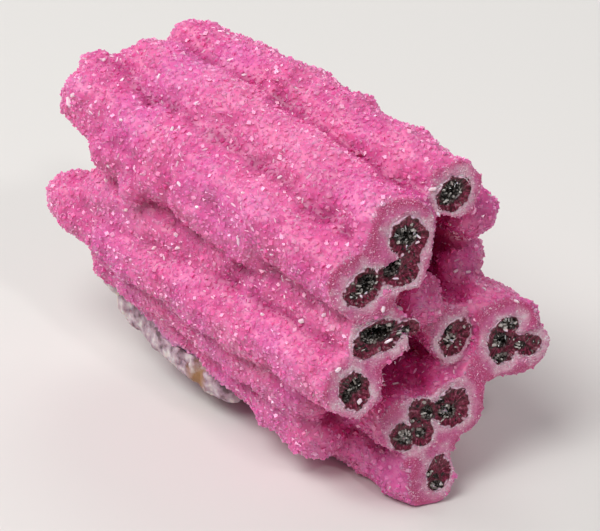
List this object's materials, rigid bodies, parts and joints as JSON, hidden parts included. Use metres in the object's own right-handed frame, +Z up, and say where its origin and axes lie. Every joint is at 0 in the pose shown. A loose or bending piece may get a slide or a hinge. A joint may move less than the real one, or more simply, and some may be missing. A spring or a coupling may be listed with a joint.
{
  "type": "spherocobaltite specimen",
  "caption": "Bundle of pink, druse-coated stalactite fingers grown together and broken off at one end, where dark crystal-lined hollows show",
  "frame": {"origin": "centre of the specimen's outline, on the surface that it rests on", "axes": "+X along the fingers to their broken ends, +Y to the back right, +Z up"},
  "size_m": [0.0464, 0.0232, 0.032],
  "materials": {
    "pink_calcite": "translucent, finely crystalline",
    "pale_matrix": "rough, dull",
    "dark_crystals": "glassy crystals"
  },
  "bodies": {
    "root": {"calcite_fingers": "pink_calcite", "matrix_crust": "pale_matrix", "core_top": "dark_crystals", "core_middle_chain": "dark_crystals", "core_left": "dark_crystals", "core_low_left": "dark_crystals", "core_inner": "dark_crystals", "core_right": "dark_crystals", "core_lower_chain": "dark_crystals", "core_foot": "dark_crystals"}
  },
  "joints": []
}
